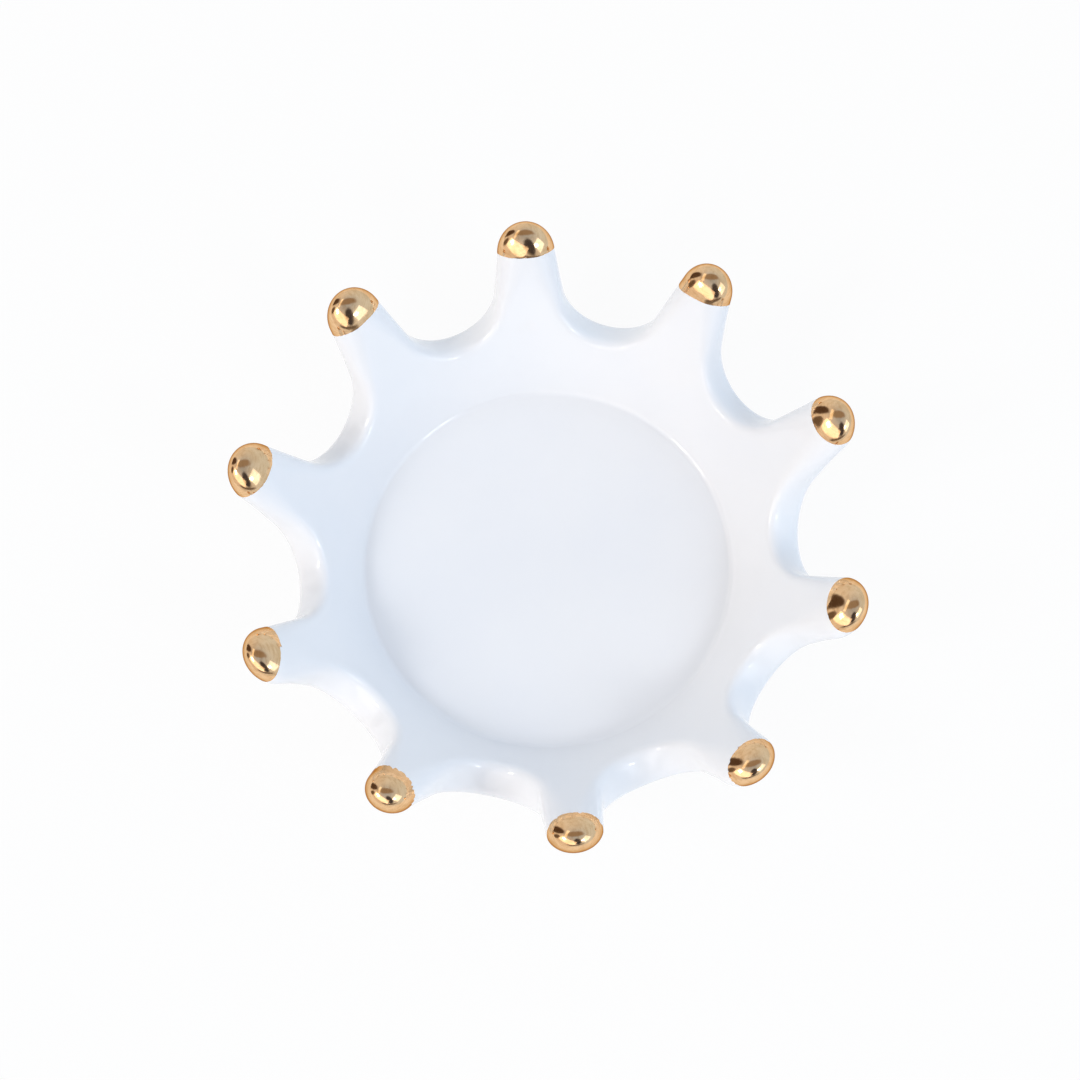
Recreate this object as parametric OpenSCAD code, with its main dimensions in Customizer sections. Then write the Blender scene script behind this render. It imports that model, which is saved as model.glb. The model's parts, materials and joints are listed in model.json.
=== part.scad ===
/* [Dish] */
// Width across the dish, from finger end to finger end
dish_width = 118; // [110:1:130]
// Width across the rim at the notches, on the upper face
rim_width = 82; // [78:0.5:86]
// Width of the flat floor
floor_width = 66; // [56:1:68]
// Thickness of the floor
floor_thickness = 4.5; // [3.5:0.5:7]
// Radius of the hollow corner between the floor and the wall
corner_radius = 1.5; // [1:0.5:3]
// Slope of the wall where it leaves the floor, in degrees
wall_slope = 54; // [52:1:58]
// Slope of the fingers at their ends, in degrees
tip_slope = 48; // [42:1:50]
// Thickness of the wall at the notches
wall_thickness = 7.2; // [6:0.2:8]

/* [Fingers] */
// Width of a finger near its end
finger_width = 9.6; // [8:0.2:11]
// Thickness of a finger near its end
finger_thickness = 7; // [6:0.2:8.6]
// Radius of the round notch between two fingers
notch_radius = 10.7; // [9.5:0.1:12]

/* [Gold] */
// How far the gold runs on past a finger's rounded end
gold_past_end = 0.3; // [0.1:0.1:2]
// Thickness of the gold and the bed it fills
gold_thickness = 0.4; // [0.3:0.05:0.8]

/* [Foot] */
// Width across the outside of the foot ring
foot_width = 60; // [48:1:62]
// Thickness of the foot ring
foot_ring_thickness = 3; // [2:0.5:5]
// Height of the foot ring
foot_height = 1.5; // [1:0.1:2.5]
// Radius of the worn edges of the foot ring
foot_edge = 0.4; // [0.2:0.1:0.6]

/* [Hidden] */
// The hand shaping makes every finger a little different.
// Turn of each finger from its even place, in degrees
finger_turn = [-0.4, -0.7, -0.6, -0.8, 0.3, 1.4, 0.9, 0.8, 0, -0.8];
// Extra reach of each finger
finger_extra_reach = [0.6, 0.3, 0.3, 0.2, -0.3, -0.5, -0.8, -0.5, 0.2, 0.2];
// Extra half width of each finger
finger_extra_width = [0.15, -0.3, 0.1, 0, 0.25, 0.25, -0.55, 0.05, 0.35, 0.55];
// Extra length of the gold on each finger
finger_extra_gold = [0, 0, 0, 0, 0.3, 0, 1.6, 0.4, 0, 0];
// Extra distance of each notch from the middle, the notch after finger 1 first
notch_extra_reach = [0.85, 0.4, 0.5, -0.6, -0.6, -0.75, -1, -0.5, 0.05, 0];

finger_count = 10;
finger_step = 360 / finger_count;
first_finger = finger_step / 2;
// Part of a finger's half width that its rounding takes
finger_rounding = 0.9;
// How far the rounding of the rim reaches in at a notch
rim_rounding = 2.3;
// How square the rounded rim is at a notch: 2 is an ellipse, a higher number has corners
rim_squareness = 3.2;

// Steps round a finger end, along its side, round a notch, over the edge and across a finger
end_steps = 5;
side_steps = 1;
notch_steps = 5;
edge_steps = 6;
across_steps = 6;
// Steps down the wall, round the floor corner and round the belly under the dish
wall_steps = 2;
corner_steps = 4;
belly_steps = 5;

// The upper face is a bowl that flares outward. Places on it are given by s,
// the distance from the middle measured along the face.
floor_r = floor_width / 2;
floor_z = foot_height + floor_thickness;
radian = 180 / PI;
corner_run = corner_radius * wall_slope / radian;
corner_end = floor_r + corner_run;
wall_r = floor_r + corner_radius * sin(wall_slope);
wall_z = floor_z + corner_radius * (1 - cos(wall_slope));
half_width = finger_width / 2;
half_thick = finger_thickness / 2;
// How far the rounded end of a finger stands out past its upper face
end_along = finger_rounding * half_width * cos(tip_slope);
end_down = half_thick * sin(tip_slope);
end_out = sqrt(pow(end_along, 2) + pow(end_down, 2)) - end_along + end_down;
tip_r = dish_width / 2 - end_out;
notch_r = rim_width / 2;
flare_radius = (tip_r - wall_r) / (sin(wall_slope) - sin(tip_slope));

function slope(s) =
    s <= floor_r ? 0 :
    s <= corner_end ? (s - floor_r) / corner_radius * radian :
    wall_slope - (s - corner_end) / flare_radius * radian;
function face_r(s) =
    s <= floor_r ? s :
    s <= corner_end ? floor_r + corner_radius * sin(slope(s)) :
    wall_r + flare_radius * (sin(wall_slope) - sin(slope(s)));
function face_z(s) =
    s <= floor_r ? floor_z :
    s <= corner_end ? floor_z + corner_radius * (1 - cos(slope(s))) :
    wall_z + flare_radius * (cos(slope(s)) - cos(wall_slope));
// Distance along the face to a given radius on the wall
function along(r) =
    corner_end + flare_radius / radian
    * (wall_slope - asin(sin(wall_slope) - (r - wall_r) / flare_radius));

tip_s = along(tip_r);
notch_s = along(notch_r);
function wall_depth(s) =
    wall_thickness + (finger_thickness - wall_thickness)
    * max(0, min(1, (s - notch_s) / (tip_s - notch_s)));

// A place s and angle a on the upper face, moved h up from it
function on_face(s, a, h) =
    let (r = face_r(s) - h * sin(slope(s)))
    [r * cos(a), r * sin(a), face_z(s) + h * cos(slope(s))];

function wrap(i) = (i + finger_count) % finger_count;
function finger_angle(i) = first_finger + i * finger_step + finger_turn[wrap(i)];
function finger_end(i) = along(tip_r + finger_extra_reach[wrap(i)]);
function end_radius(i) =
    (half_width + finger_extra_width[wrap(i)]) * finger_end(i)
    / (tip_r + finger_extra_reach[wrap(i)]);
function notch_at(i) = along(notch_r + notch_extra_reach[wrap(i)]);
function ease(t) = let (x = max(0, min(1, t))) x * x * (3 - 2 * x);
function aim(a) = [cos(a), sin(a)];

// The outline of a finger is an end arc, a straight side and a notch arc, laid
// out flat. Stations count along it from the finger's end to the notch.
gold_station = end_steps + 1;
first_notch_station = gold_station + side_steps + 1;
last_station = first_notch_station + notch_steps;

// The outline at a station: place, outward direction, depth and squareness of the rounding
function outline(i, side, j) =
    let (
        half_gap = abs(finger_angle(i + side) - finger_angle(i)) / 2,
        e = end_radius(i),
        reach = finger_end(i),
        b = [reach - e, 0],
        a = (notch_at(side > 0 ? i : i - 1) + notch_radius) * aim(half_gap),
        d = a - b,
        turn = atan2(d.y, d.x) - acos((e + notch_radius) / norm(d)),
        side_from = b + e * aim(turn),
        side_to = a - notch_radius * aim(turn),
        gold_at = (gold_past_end + finger_extra_gold[wrap(i)]) / norm(side_to - side_from),
        run = j <= end_steps ? 0 :
            j < first_notch_station
                ? gold_at + (1 - gold_at) * (j - gold_station) / (side_steps + 1) : 1,
        notch = max(0, (j - first_notch_station) / notch_steps),
        way = j <= end_steps ? turn * j / end_steps : turn + (half_gap - turn) * notch,
        at = j <= end_steps ? b + e * aim(way) :
            j < first_notch_station ? side_from + (side_to - side_from) * run :
            a - notch_radius * aim(way),
        blend = ease((run + notch) / 1.6)
    )
    [
        [at.x, side * at.y],
        [cos(way), side * sin(way)],
        finger_rounding * e * (1 - blend) + rim_rounding * blend,
        2 + (rim_squareness - 2) * blend
    ];

// Inner end of the rounding at a station, as distance along the face and angle
function shoulder(i, side, j) =
    let (o = outline(i, side, j), q = o[0] - o[1] * o[2])
    [norm(q), atan2(q.y, q.x)];

// A point over the rounded edge: u is 0 on the upper face and 180 underneath,
// and inset is how deep below the outer surface it lies
function rounded(c, squareness) = sign(c) * pow(abs(c), 2 / squareness);
function edge_point(i, side, j, u, inset) =
    let (
        o = outline(i, side, j),
        q = o[0] - o[1] * (o[2] - (o[2] - inset) * rounded(sin(u), o[3])),
        s = norm(q),
        t = wall_depth(s)
    )
    on_face(
        s, finger_angle(i) + atan2(q.y, q.x),
        (t / 2 - inset) * rounded(cos(u), o[3]) - t / 2);

// A point across a finger between its two shoulders, on the upper face or underneath
function across_place(i, j, f) =
    let (a = shoulder(i, -1, j), b = shoulder(i, 1, j))
    a + (b - a) * f;
function across_point(i, j, f, under, inset) =
    let (p = across_place(i, j, f))
    on_face(p[0], finger_angle(i) + p[1], under ? inset - wall_depth(p[0]) : -inset);

// One loop round a finger: across the top, over one edge, back underneath and
// up over the other edge
loop_size = 2 * across_steps + 2 * edge_steps;
right_top = across_steps;
right_under = across_steps + edge_steps;
left_under = 2 * across_steps + edge_steps;
function loop_point(i, j, k, inset) =
    k < right_top ? across_point(i, j, k / across_steps, false, inset) :
    k < right_under ? edge_point(i, 1, j, 180 * (k - right_top) / edge_steps, inset) :
    k < left_under
        ? across_point(i, j, 1 - (k - right_under) / across_steps, true, inset) :
    edge_point(i, -1, j, 180 * (loop_size - k) / edge_steps, inset);
function loop(i, j, inset) =
    [for (k = [0 : loop_size - 1]) loop_point(i, j, k, inset)];

// The row of points at a finger's very end, where its loop closes to a line
function end_row(i, inset) =
    [for (k = [0 : edge_steps]) edge_point(i, 1, 0, 180 * k / edge_steps, inset)];
// Number of a loop's point in a list that starts with the end row
function sleeve_index(station, k) =
    station > 0 ? edge_steps + 1 + (station - 1) * loop_size + k % loop_size :
    k <= right_top ? 0 :
    k <= right_under ? k - right_top :
    k <= left_under ? edge_steps :
    loop_size - k;

// A face with four corners as triangles, without any that two equal corners close up
function quad(a, b, c, d) =
    [for (t = [[a, b, c], [a, c, d]])
        if (t[0] != t[1] && t[1] != t[2] && t[0] != t[2]) t];
function flipped(faces) = [for (f = faces) [f[2], f[1], f[0]]];
function flat_list(lists) = [for (l = lists) each l];

// The body's stations repeat the one at the gold's edge: the finger inside the
// gold is thinner by the gold's thickness
body_stations = last_station + 1;
function body_loop(i, s) =
    s <= gold_station ? loop(i, s, gold_thickness) : loop(i, s - 1, 0);
finger_points = edge_steps + 1 + body_stations * loop_size;
function body_index(i, s, k) =
    s == body_stations && (k % loop_size == 0 || k >= left_under)
        ? wrap(i - 1) * finger_points
            + sleeve_index(s, right_top + (loop_size - k) % loop_size)
        : i * finger_points + sleeve_index(s, k);

// Rings of points inside the notches, one point for every step across the fingers
ring_size = finger_count * across_steps;
function ring_place(n) =
    let (
        i = floor(n / across_steps),
        p = across_place(i, last_station, (n % across_steps) / across_steps)
    )
    [p[0], finger_angle(i) + p[1]];
function bowl_ring(row) =
    [for (n = [0 : ring_size - 1])
        let (
            p = ring_place(n),
            s = row <= wall_steps
                ? p[0] + (corner_end - p[0]) * row / wall_steps
                : corner_end - corner_run * (row - wall_steps) / corner_steps
        )
        on_face(s, p[1], 0)];
// The belly curves from the wall's outer face in to the flat underside
base_r = foot_width / 2 + 2;
function belly_ring(row) =
    [for (n = [0 : ring_size - 1])
        let (
            p = ring_place(n),
            t = wall_depth(p[0]),
            b = slope(p[0]),
            from = [face_r(p[0]) + t * sin(b), face_z(p[0]) - t * cos(b)],
            bend = [from[0] - (from[1] - foot_height) / tan(b), foot_height],
            to = [base_r, foot_height],
            q = row / belly_steps,
            c = pow(1 - q, 2) * from + 2 * q * (1 - q) * bend + q * q * to
        )
        [c[0] * cos(p[1]), c[0] * sin(p[1]), c[1]]];

bowl_rows = wall_steps + corner_steps;
first_ring = finger_count * finger_points;
// Number of a point in a ring, where row 0 lies on the fingers' last loops
function bowl_index(row, n) =
    row == 0
        ? body_index(floor(n / across_steps) % finger_count, body_stations, n % across_steps)
        : first_ring + (row - 1) * ring_size + n % ring_size;
function belly_index(row, n) =
    row == 0
        ? body_index(
            floor(n / across_steps) % finger_count, body_stations,
            left_under - n % across_steps)
        : first_ring + (bowl_rows + row - 1) * ring_size + n % ring_size;

module dish_body() {
    points = concat(
        flat_list([for (i = [0 : finger_count - 1])
            concat(
                end_row(i, gold_thickness),
                flat_list([for (s = [1 : body_stations]) body_loop(i, s)])
            )
        ]),
        flat_list([for (row = [1 : bowl_rows]) bowl_ring(row)]),
        flat_list([for (row = [1 : belly_steps]) belly_ring(row)])
    );
    faces = concat(
        flat_list([for (i = [0 : finger_count - 1], s = [0 : body_stations - 1],
                k = [0 : loop_size - 1])
            quad(
                body_index(i, s, k), body_index(i, s, k + 1),
                body_index(i, s + 1, k + 1), body_index(i, s + 1, k))
        ]),
        flat_list([for (row = [0 : bowl_rows - 1], n = [0 : ring_size - 1])
            quad(
                bowl_index(row, n), bowl_index(row, n + 1),
                bowl_index(row + 1, n + 1), bowl_index(row + 1, n))
        ]),
        flipped(flat_list([for (row = [0 : belly_steps - 1], n = [0 : ring_size - 1])
            quad(
                belly_index(row, n), belly_index(row, n + 1),
                belly_index(row + 1, n + 1), belly_index(row + 1, n))
        ])),
        [[for (n = [0 : ring_size - 1]) bowl_index(bowl_rows, n)]],
        [[for (n = [ring_size - 1 : -1 : 0]) belly_index(belly_steps, n)]]
    );
    color([0.95, 0.96, 0.98])
        polyhedron(points = points, faces = faces, convexity = 8);
}

// The gold on one finger end: a thin cap, let in flush with the white around it
module gold_tip(i) {
    sleeve_size = edge_steps + 1 + gold_station * loop_size;
    points = flat_list([for (inset = [0, gold_thickness])
        concat(
            end_row(i, inset),
            flat_list([for (s = [1 : gold_station]) loop(i, s, inset)])
        )
    ]);
    sleeve = flat_list([for (s = [0 : gold_station - 1], k = [0 : loop_size - 1])
        quad(
            sleeve_index(s, k), sleeve_index(s, k + 1),
            sleeve_index(s + 1, k + 1), sleeve_index(s + 1, k))
    ]);
    brim = flat_list([for (k = [0 : loop_size - 1])
        let (a = sleeve_index(gold_station, k), b = sleeve_index(gold_station, k + 1))
        quad(a, b, b + sleeve_size, a + sleeve_size)
    ]);
    inner = [for (f = flipped(sleeve)) [for (v = f) v + sleeve_size]];
    color([0.82, 0.62, 0.30])
        polyhedron(points = points, faces = concat(sleeve, inner, brim), convexity = 4);
}

// The foot ring is bare clay, with a flat face that the dish stands on
module foot_ring() {
    inner_r = foot_width / 2 - foot_ring_thickness;
    color([0.90, 0.87, 0.82])
        rotate_extrude($fn = 120) {
            translate([inner_r, foot_edge])
                square([foot_ring_thickness, foot_height - foot_edge]);
            translate([inner_r + foot_edge, 0])
                square([foot_ring_thickness - 2 * foot_edge, foot_height]);
            translate([inner_r + foot_edge, foot_edge])
                circle(r = foot_edge, $fn = 32);
            translate([foot_width / 2 - foot_edge, foot_edge])
                circle(r = foot_edge, $fn = 32);
        }
}

dish_body();
foot_ring();
gold_tip(0);  // gold_tip_01
gold_tip(1);  // gold_tip_02
gold_tip(2);  // gold_tip_03
gold_tip(3);  // gold_tip_04
gold_tip(4);  // gold_tip_05
gold_tip(5);  // gold_tip_06
gold_tip(6);  // gold_tip_07
gold_tip(7);  // gold_tip_08
gold_tip(8);  // gold_tip_09
gold_tip(9);  // gold_tip_10
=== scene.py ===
# %% [markdown]
# # A ring dish with ten gold-tipped fingers
#
# The object is a small white porcelain dish, about as wide as a hand. Its wall
# runs out into ten blunt fingers, like the rays of a sun, and the end of each
# finger is dipped in gold lustre. It stands on a low ring of bare clay.
#
# A dish like this is easy to draw as circles and hard to make believable,
# because every edge is soft and every surface is glossy: the eye reads its shape
# from reflections. So this lesson computes one smooth skin from a few formulas
# and leaves flat pieces out altogether.
#
# The first step loads the engineering model as a fixed frame.

import json
import math

import bpy
from mathutils import Matrix, Vector, noise

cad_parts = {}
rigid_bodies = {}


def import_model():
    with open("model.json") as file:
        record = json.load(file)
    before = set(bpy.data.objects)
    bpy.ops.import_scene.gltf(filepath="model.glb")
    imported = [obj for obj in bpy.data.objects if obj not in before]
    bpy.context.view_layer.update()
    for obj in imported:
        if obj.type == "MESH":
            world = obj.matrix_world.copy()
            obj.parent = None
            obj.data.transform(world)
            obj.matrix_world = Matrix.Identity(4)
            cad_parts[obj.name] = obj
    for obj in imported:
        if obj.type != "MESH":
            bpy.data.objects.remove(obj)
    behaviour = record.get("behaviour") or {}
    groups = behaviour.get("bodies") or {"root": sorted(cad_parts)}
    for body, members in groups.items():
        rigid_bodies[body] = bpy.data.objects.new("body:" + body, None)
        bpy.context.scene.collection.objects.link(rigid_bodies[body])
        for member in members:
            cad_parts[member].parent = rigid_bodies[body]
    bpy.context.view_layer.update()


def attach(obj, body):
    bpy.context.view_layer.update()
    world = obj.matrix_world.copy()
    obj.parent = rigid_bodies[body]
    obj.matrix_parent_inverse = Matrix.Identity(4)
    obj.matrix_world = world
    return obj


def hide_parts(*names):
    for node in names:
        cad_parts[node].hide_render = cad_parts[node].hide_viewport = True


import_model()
MM = 0.001  # Blender works in metres; the shape below is written in millimetres

# %% [markdown]
# ## The upper face
#
# Cut through the middle, the dish is a flat floor, a small hollow corner and a
# wall that rises steeply and flares a little as it goes out to the finger ends.
# A potter would turn this profile on a wheel or cast it in a mould.
#
# In Blender a drawn curve with a Screw modifier would turn it too, but the
# fingers have to follow the same face further out, so it is better to have it as
# a formula. One number is enough to name a place on it: the distance `s` from
# the middle, measured along the face itself. The flat floor, the corner arc and
# the long flaring arc meet without a kink, because each starts at the slope
# where the last one ended.

# %% The profile, as a distance along the face
FLOOR_RADIUS = 33.0
FLOOR_HEIGHT = 6.0
CORNER_RADIUS = 1.5
WALL_SLOPE = math.radians(54)
TIP_SLOPE = math.radians(48)
DISH_RADIUS = 59.0
NOTCH_RIM_RADIUS = 41.0
FINGER_HALF_WIDTH = 4.8
FINGER_HALF_THICKNESS = 3.5
FINGER_ROUNDING = 0.9  # part of a finger's half width that is rounded off

corner_end = FLOOR_RADIUS + CORNER_RADIUS * WALL_SLOPE
wall_start_radius = FLOOR_RADIUS + CORNER_RADIUS * math.sin(WALL_SLOPE)
wall_start_height = FLOOR_HEIGHT + CORNER_RADIUS * (1 - math.cos(WALL_SLOPE))

# The rounded end of a finger stands out a little past its upper face
end_along = FINGER_ROUNDING * FINGER_HALF_WIDTH * math.cos(TIP_SLOPE)
end_down = FINGER_HALF_THICKNESS * math.sin(TIP_SLOPE)
end_stands_out = math.hypot(end_along, end_down) - end_along + end_down
tip_radius = DISH_RADIUS - end_stands_out
flare_radius = (tip_radius - wall_start_radius) / (
    math.sin(WALL_SLOPE) - math.sin(TIP_SLOPE)
)


def slope(s):
    if s <= FLOOR_RADIUS:
        return 0.0
    if s <= corner_end:
        return (s - FLOOR_RADIUS) / CORNER_RADIUS
    return WALL_SLOPE - (s - corner_end) / flare_radius


def face_radius(s):
    if s <= FLOOR_RADIUS:
        return s
    if s <= corner_end:
        return FLOOR_RADIUS + CORNER_RADIUS * math.sin(slope(s))
    flare = math.sin(WALL_SLOPE) - math.sin(slope(s))
    return wall_start_radius + flare_radius * flare


def face_height(s):
    if s <= FLOOR_RADIUS:
        return FLOOR_HEIGHT
    if s <= corner_end:
        return FLOOR_HEIGHT + CORNER_RADIUS * (1 - math.cos(slope(s)))
    rise = math.cos(slope(s)) - math.cos(WALL_SLOPE)
    return wall_start_height + flare_radius * rise


def along(radius):
    """The distance along the face to a radius on the wall."""
    lean = math.sin(WALL_SLOPE) - (radius - wall_start_radius) / flare_radius
    return corner_end + flare_radius * (WALL_SLOPE - math.asin(lean))


def turned(radius, angle, height):
    """A point that far from the dish's axis, turned round it by an angle."""
    return Vector((radius * math.cos(angle), radius * math.sin(angle), height))


def on_face(s, angle, lift):
    """A place on the upper face, moved by lift at right angles to it."""
    radius = face_radius(s) - lift * math.sin(slope(s))
    return turned(radius, angle, face_height(s) + lift * math.cos(slope(s)))


print("the wall runs from", round(corner_end, 1), "to",
      round(along(tip_radius), 1), "mm along the face")

# %% [markdown]
# ## The outline of a finger
#
# Seen laid out flat, the rim is a chain of arcs: a round finger end, a short
# straight side, and a wide round notch that swings into the next finger. The
# straight side touches both arcs. Cutting ten cylinders out of a bowl would be
# another way, but it leaves sharp corners to round by eye; here nothing has to.
#
# The fingers of the real dish were shaped by hand. Each points a degree or so
# off its even place and is a little longer, shorter, wider or narrower than its
# neighbours, so each has its own small numbers in the lists below. Those small
# numbers do more for the look than any texture could.

# %% The fingers' own sizes
FINGER_COUNT = 10
FINGERS = range(FINGER_COUNT)
FINGER_STEP = math.radians(360 / FINGER_COUNT)
FIRST_FINGER = math.radians(18)
FINGER_TURN = [-0.4, -0.7, -0.6, -0.8, 0.3, 1.4, 0.9, 0.8, 0, -0.8]  # degrees
EXTRA_REACH = [0.6, 0.3, 0.3, 0.2, -0.3, -0.5, -0.8, -0.5, 0.2, 0.2]
EXTRA_WIDTH = [0.15, -0.3, 0.1, 0, 0.25, 0.25, -0.55, 0.05, 0.35, 0.55]
NOTCH_EXTRA_REACH = [0.85, 0.4, 0.5, -0.6, -0.6, -0.75, -1, -0.5, 0.05, 0]


def finger_angle(i):
    own_turn = math.radians(FINGER_TURN[i % FINGER_COUNT])
    return FIRST_FINGER + i * FINGER_STEP + own_turn


def finger_reach(i):
    return along(tip_radius + EXTRA_REACH[i % FINGER_COUNT])


def end_arc_radius(i):
    i = i % FINGER_COUNT
    width = FINGER_HALF_WIDTH + EXTRA_WIDTH[i]
    return width * finger_reach(i) / (tip_radius + EXTRA_REACH[i])


print("finger lengths past the rim, mm:",
      [round(finger_reach(i) - along(NOTCH_RIM_RADIUS), 1) for i in FINGERS])

# %% Walk the outline
NOTCH_RADIUS = 10.7
RIM_ROUNDING = 2.3
RIM_SQUARENESS = 3.2  # 2 is an ellipse, a higher number has corners
ROUNDING_CHANGE = 1.6  # stations over which a finger's rounding turns into the rim's


def ease(t):
    t = max(0.0, min(1.0, t))
    return t * t * (3 - 2 * t)


def aim(angle):
    return Vector((math.cos(angle), math.sin(angle)))


def outline(i, side, t):
    """The outline from the finger's end (0) past its end arc (1) and side (2)
    to the middle of the notch (3): place, outward direction, and the depth and
    squareness of its rounding."""
    half_gap = abs(finger_angle(i + side) - finger_angle(i)) / 2
    e = end_arc_radius(i)
    end_middle = Vector((finger_reach(i) - e, 0))
    notch = (i if side > 0 else i - 1) % FINGER_COUNT
    rim = along(NOTCH_RIM_RADIUS + NOTCH_EXTRA_REACH[notch])
    notch_middle = (rim + NOTCH_RADIUS) * aim(half_gap)
    gap = notch_middle - end_middle
    turn = math.atan2(gap.y, gap.x) - math.acos((e + NOTCH_RADIUS) / gap.length)
    way = turn * min(t, 1) + (half_gap - turn) * max(0, t - 2)
    if t <= 1:
        place = end_middle + e * aim(way)
    elif t <= 2:
        start = end_middle + e * aim(turn)
        place = start + (notch_middle - NOTCH_RADIUS * aim(turn) - start) * (t - 1)
    else:
        place = notch_middle - NOTCH_RADIUS * aim(way)
    blend = ease(max(0, t - 1) / ROUNDING_CHANGE)
    depth = FINGER_ROUNDING * e * (1 - blend) + RIM_ROUNDING * blend
    square = 2 + (RIM_SQUARENESS - 2) * blend
    outward = Vector((math.cos(way), side * math.sin(way)))
    return Vector((place.x, side * place.y)), outward, depth, square


print("half way down the first finger's side, mm:",
      [round(v, 1) for v in outline(0, 1, 1.5)[0]])

# %% [markdown]
# ## From an outline to a rounded skin
#
# A finger is not a flat tab but a fat, rounded bar. Its edge follows half an
# ellipse, from the upper face over to the underside. Towards the notches the
# ellipse turns squarer, so the thick rim there shows a flat outer band with a
# soft ridge along it. Between the two edges the skin goes straight across. A
# Bevel modifier could round the edges, but only with the same arc everywhere.
#
# Going once round a finger at one station of its outline gives a closed loop of
# points. `skin_point` finds any point of that loop from a single number: 0 to 1
# is across the top, 1 to 2 over one edge, 2 to 3 back underneath, and 3 to 4 up
# over the other edge. The same function makes the clay and the gold that covers
# it, so they can never drift apart.

# %% Points of the skin
WALL_THICKNESS = 7.2
FINGER_THICKNESS = 2 * FINGER_HALF_THICKNESS
rim_distance = along(NOTCH_RIM_RADIUS)
tip_distance = along(tip_radius)


def thickness(s):
    share = max(0, min(1, (s - rim_distance) / (tip_distance - rim_distance)))
    return WALL_THICKNESS + (FINGER_THICKNESS - WALL_THICKNESS) * share


def rounded(value, square):
    return math.copysign(abs(value) ** (2 / square), value)


def over_edge(i, side, t, share, out=0.0):
    """Where the rounded edge lies, laid out flat: share 0 is on top, 1 underneath."""
    place, outward, depth, square = outline(i, side, t)
    past = rounded(math.sin(math.pi * share), square)
    return place - outward * (depth - (depth + out) * past), square


def edge_place(i, side, t, share, out):
    q, square = over_edge(i, side, t, share, out)
    half = thickness(q.length) / 2
    lift = (half + out) * rounded(math.cos(math.pi * share), square) - half
    return on_face(q.length, finger_angle(i) + math.atan2(q.y, q.x), lift)


def shoulder(i, side, t):
    """Where the edge's rounding starts: distance along the face, and angle."""
    q, _ = over_edge(i, side, t, 0)
    return q.length, finger_angle(i) + math.atan2(q.y, q.x)


def across(i, t, share):
    """Where the skin crosses a finger: distance along the face, and angle. The
    distance eases from one side to the other, so that two rows never cross."""
    (s0, a0), (s1, a1) = shoulder(i, -1, t), shoulder(i, 1, t)
    return s0 + (s1 - s0) * ease(share), a0 + (a1 - a0) * share


def skin_point(i, t, turn, out=0.0):
    turn = turn % 4
    if turn < 1:
        s, angle = across(i, t, turn)
        return on_face(s, angle, out)
    if turn <= 2:
        return edge_place(i, 1, t, turn - 1, out)
    if turn < 3:
        s, angle = across(i, t, 3 - turn)
        return on_face(s, angle, -thickness(s) - out)
    return edge_place(i, -1, t, 4 - turn, out)


print("the first finger's end, mm:", [round(v, 1) for v in skin_point(0, 0, 1.5)])

# %% [markdown]
# ## The wobble of the kiln
#
# Cast porcelain warps by a few hundredths of a millimetre as it is fired, and
# without that the highlights would look drawn with a ruler. A Displace modifier
# could bend the finished mesh; moving the points before the mesh is made is
# simpler, and clay and gold get exactly the same wobble. The noise needs a fixed
# seed, or the dish would come out a little different on every run.

# %% Warp the points and make meshes
WARP = 0.09
WARP_SIZE = 16.0
WARP_FROM, WARP_FADE = 2, 6  # the height where it starts, and the way to its full size
WARP_SEED = 4
noise.seed_set(WARP_SEED)


def warped(p):
    """The slow wobble of the fired clay. It fades out towards the foot."""
    amount = WARP * max(0.0, min(1.0, (p.z - WARP_FROM) / WARP_FADE))
    return p + amount * noise.noise_vector(p / WARP_SIZE)


def mesh_piece(name, points, faces):
    mesh = bpy.data.meshes.new(name)
    mesh.from_pydata([warped(p) * MM for p in points], [], faces)
    mesh.validate()
    mesh.polygons.foreach_set("use_smooth", [True] * len(mesh.polygons))
    piece = bpy.data.objects.new(name, mesh)
    bpy.context.scene.collection.objects.link(piece)
    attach(piece, "root")
    return piece


end_point = skin_point(0, 0, 1.5)
print("the wobble moves it by", round((warped(end_point) - end_point).length, 3), "mm")

# %% [markdown]
# ## The porcelain body
#
# The body is one piece of fired clay under one coat of glaze, so it is one mesh
# too. Loops run down each finger to the notches; where the last loops of all ten
# fingers meet, they form two rings. The upper ring goes on down the wall, round
# the corner and over the floor. The lower one curves in under the belly to the
# flat underside.
#
# Building it from boxes or a sculpt would need a lot of clean-up. Loops and rings
# give even four-sided faces that follow the form, which is what a glossy surface
# needs.

# %% Points down the fingers
END_STEPS, SIDE_STEPS, NOTCH_STEPS = 20, 10, 16
EDGE_STEPS, ACROSS_STEPS = 24, 14


def round_trip(across_steps, edge_steps):
    """The places once round a loop, as numbers from 0 to 4."""
    return [
        quarter + n / steps
        for quarter, steps in enumerate((across_steps, edge_steps) * 2)
        for n in range(steps)
    ]


def end_row(i, edge_steps, out=0.0):
    """At a finger's very end the loop closes up to a single row of points."""
    return [skin_point(i, 0, 1 + n / edge_steps, out) for n in range(edge_steps + 1)]


stations = (
    [n / END_STEPS for n in range(1, END_STEPS + 1)]
    + [1 + n / SIDE_STEPS for n in range(1, SIDE_STEPS + 1)]
    + [2 + n / NOTCH_STEPS for n in range(1, NOTCH_STEPS + 1)]
)
turns = round_trip(ACROSS_STEPS, EDGE_STEPS)
LOOP = len(turns)

points, finger_start = [], []
for i in FINGERS:
    finger_start.append(len(points))
    points += end_row(i, EDGE_STEPS)
    for t in stations:
        points += [skin_point(i, t, turn) for turn in turns]
print("fingers:", len(points), "points in", len(stations), "loops each")

# %% Faces down the fingers
UNDER_END = 2 * ACROSS_STEPS + EDGE_STEPS  # where a loop has crossed the underside


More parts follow.
